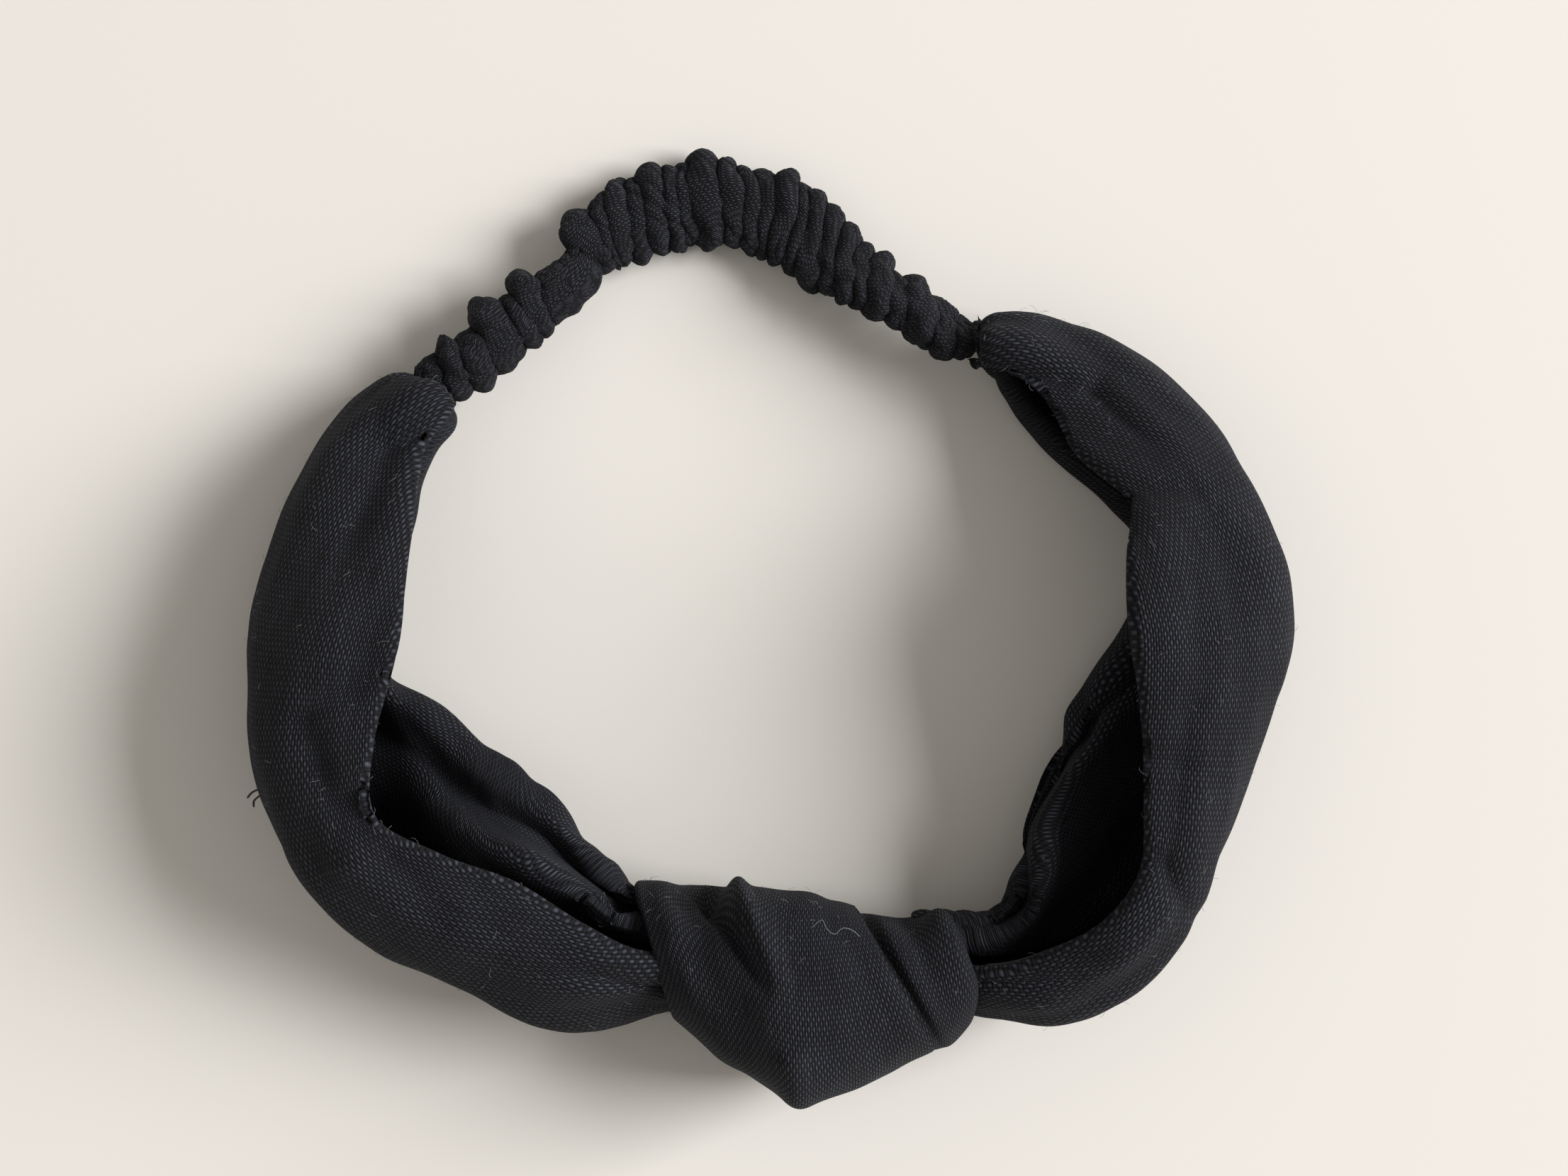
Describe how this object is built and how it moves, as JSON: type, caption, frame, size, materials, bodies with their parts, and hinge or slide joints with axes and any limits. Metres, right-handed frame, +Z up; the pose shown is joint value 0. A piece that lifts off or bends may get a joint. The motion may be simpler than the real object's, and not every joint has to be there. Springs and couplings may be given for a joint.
{
  "type": "knotted headband",
  "caption": "Wide linen headband tied in a flat knot at the front, closed at the back by a ruched elastic casing.",
  "frame": {"origin": "middle of the headband's box, on the table it lies on", "axes": "+Z up off the table, -Y towards the knot, +Y towards the elastic, +X towards the right arm as seen from above"},
  "size_m": [0.1884, 0.1704, 0.0376],
  "materials": {
    "linen": "matte plain-weave linen",
    "lining": "matte plain-weave linen",
    "casing_cloth": "matte ruched linen",
    "sewing_thread": "matte thread",
    "elastic": "braided"
  },
  "bodies": {
    "front_band": {"left_arm_outer_panel": "linen", "left_arm_lining_panel": "lining", "left_arm_edge_seam": "sewing_thread", "left_pleat_stitching": "sewing_thread", "left_join_stitching": "sewing_thread", "right_arm_outer_panel": "linen", "right_arm_lining_panel": "lining", "right_arm_edge_seam": "sewing_thread", "right_pleat_stitching": "sewing_thread", "right_join_stitching": "sewing_thread", "knot_wrap": "linen", "knot_core": "linen", "knot_under_pass": "linen", "loose_thread_end": "sewing_thread"},
    "elastic_back": {"elastic_casing": "casing_cloth", "elastic_strip": "elastic", "casing_seam_thread": "sewing_thread"}
  },
  "joints": [
    {"name": "elastic_stretch", "type": "slide", "parent": "front_band", "child": "elastic_back", "axis": [0, 1, 0], "range_m": [0, 0.045], "stiffness_N_per_m": 60, "deforming": ["elastic_casing", "elastic_strip", "casing_seam_thread"]}
  ]
}
